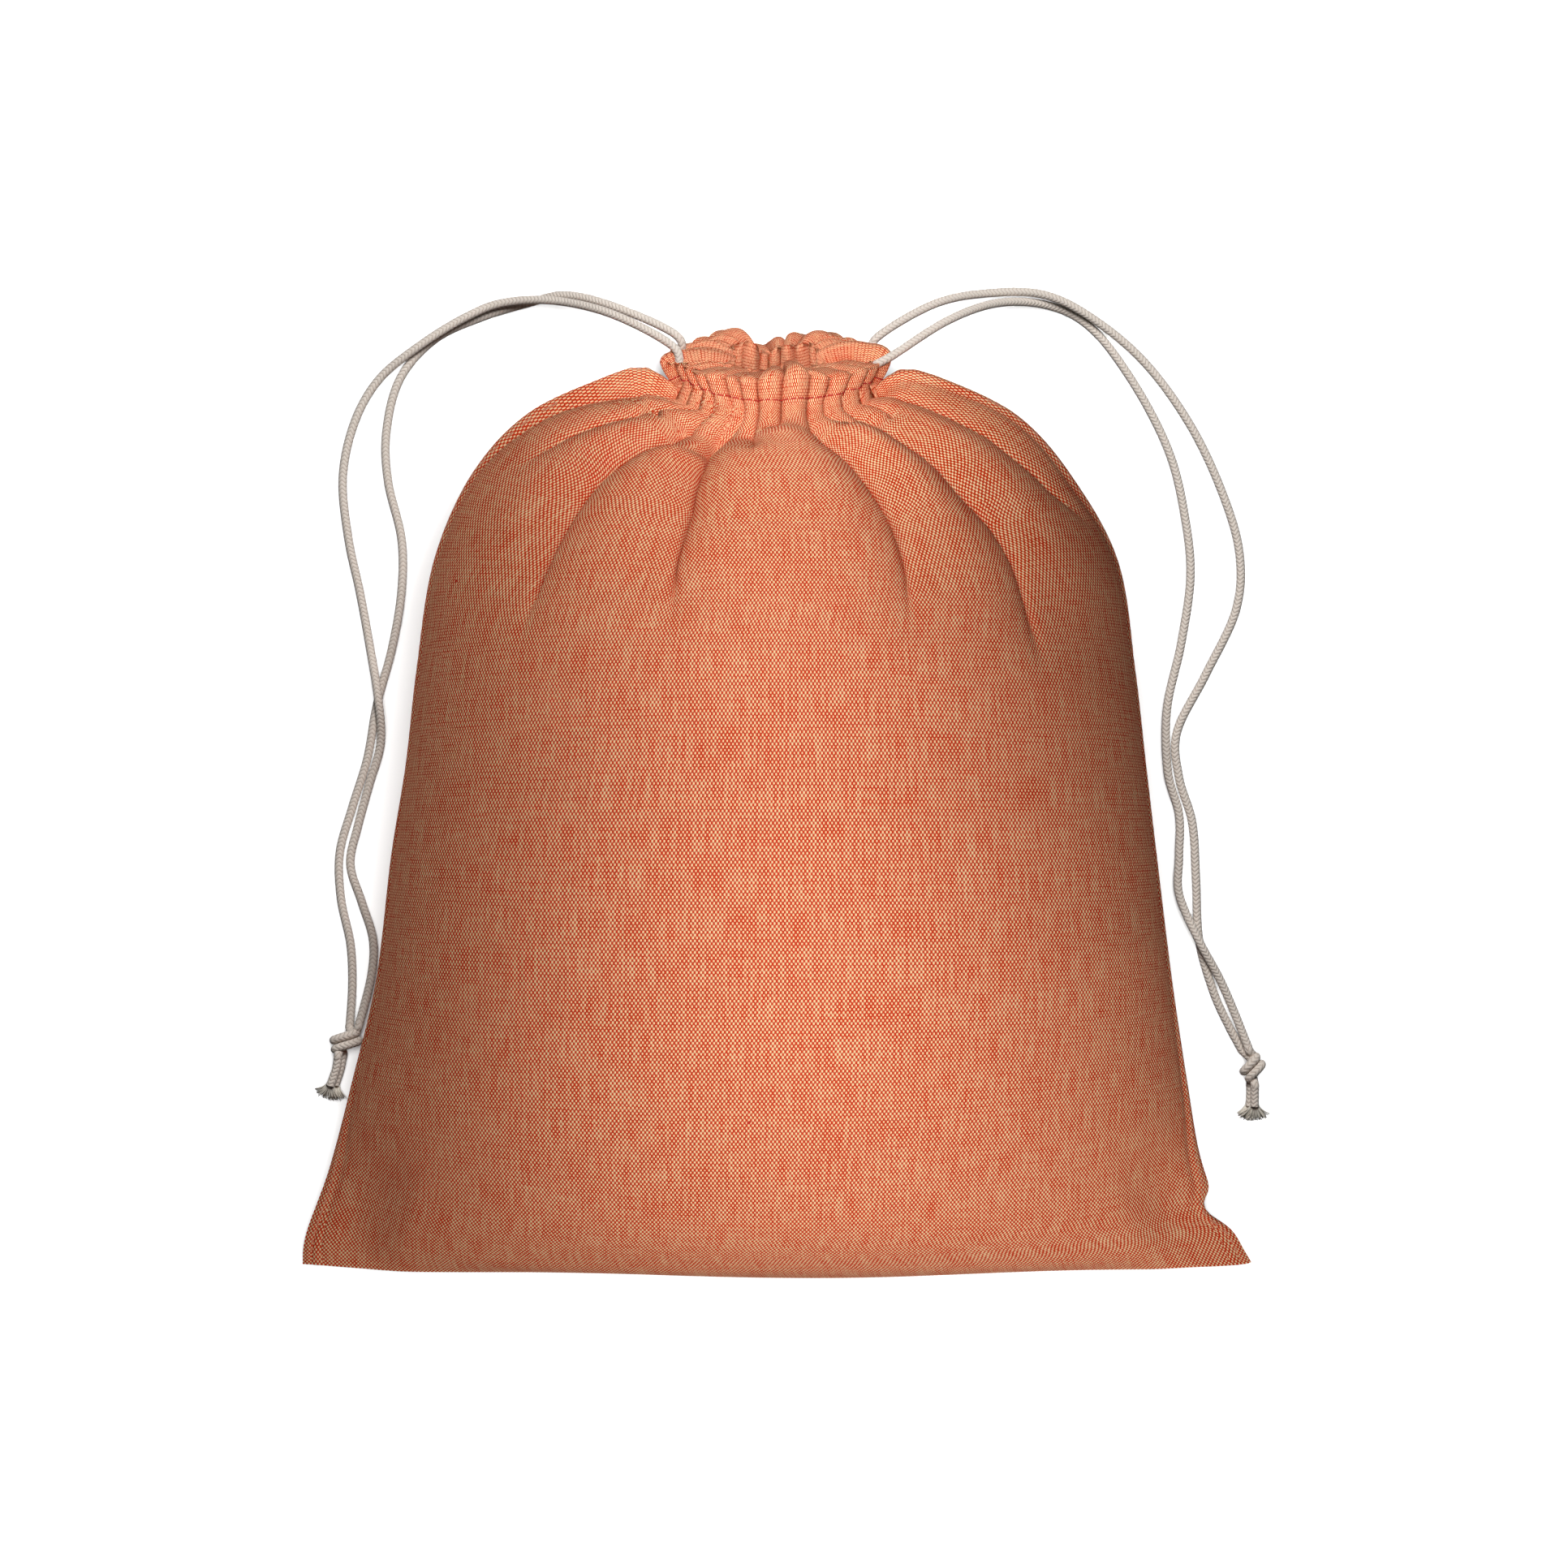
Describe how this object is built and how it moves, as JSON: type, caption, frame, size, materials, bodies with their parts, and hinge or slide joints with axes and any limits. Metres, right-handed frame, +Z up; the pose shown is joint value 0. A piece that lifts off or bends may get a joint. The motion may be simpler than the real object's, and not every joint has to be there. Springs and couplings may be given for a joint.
{
  "type": "treat pouch",
  "caption": "Cotton drawstring treat pouch lying full on its back, with a gathered neck drawn shut by two opposed knotted cords.",
  "frame": {"origin": "centre of the bounding box of the pouch without its cords, on the surface it lies on", "axes": "+X across the pouch to the right, +Y towards the gathered neck, +Z up from the surface through the pouch's thickness"},
  "size_m": [0.2536, 0.2596, 0.0903],
  "materials": {
    "front_panel": "matte",
    "back_panel": "matte",
    "front_channel": "matte",
    "back_channel": "matte",
    "seam_allowance": "matte",
    "sewing_thread": "matte",
    "drawcord": "matte"
  },
  "bodies": {
    "pouch": {"front_panel": "front_panel", "back_panel": "back_panel", "left_side_seam": "seam_allowance", "right_side_seam": "seam_allowance", "left_seam_stitches": "sewing_thread", "right_seam_stitches": "sewing_thread", "back_channel": "back_channel", "back_hem_stitches": "sewing_thread", "left_cord_back_run": "drawcord", "right_cord_back_run": "drawcord"},
    "front_lip": {"front_channel": "front_channel", "front_hem_stitches": "sewing_thread", "left_cord_front_run": "drawcord", "right_cord_front_run": "drawcord"},
    "left_drawcord": {"left_cord_front_strand": "drawcord", "left_cord_back_strand": "drawcord", "left_cord_knot": "drawcord", "left_cord_front_tail": "drawcord", "left_cord_back_tail": "drawcord"},
    "right_drawcord": {"right_cord_front_strand": "drawcord", "right_cord_back_strand": "drawcord", "right_cord_knot": "drawcord", "right_cord_front_tail": "drawcord", "right_cord_back_tail": "drawcord"}
  },
  "joints": [
    {"name": "left_drawcord_pull", "type": "slide", "parent": "pouch", "child": "left_drawcord", "axis": [-0.171, -0.9853, 0], "range_m": [-0.02, 0.006], "deforming": ["left_cord_front_strand", "left_cord_back_strand"]},
    {"name": "right_drawcord_pull", "type": "slide", "parent": "pouch", "child": "right_drawcord", "axis": [0.4492, -0.8934, 0], "range_m": [-0.02, 0.006], "deforming": ["right_cord_front_strand", "right_cord_back_strand"]},
    {"name": "front_lip_lift", "type": "slide", "parent": "pouch", "child": "front_lip", "axis": [0, -0.284, 0.9588], "range_m": [-0.006, 0.02]}
  ],
  "couplings": [
    {"joint": "right_drawcord_pull", "follows": "left_drawcord_pull", "ratio": 1},
    {"joint": "front_lip_lift", "follows": "left_drawcord_pull", "ratio": -1}
  ]
}
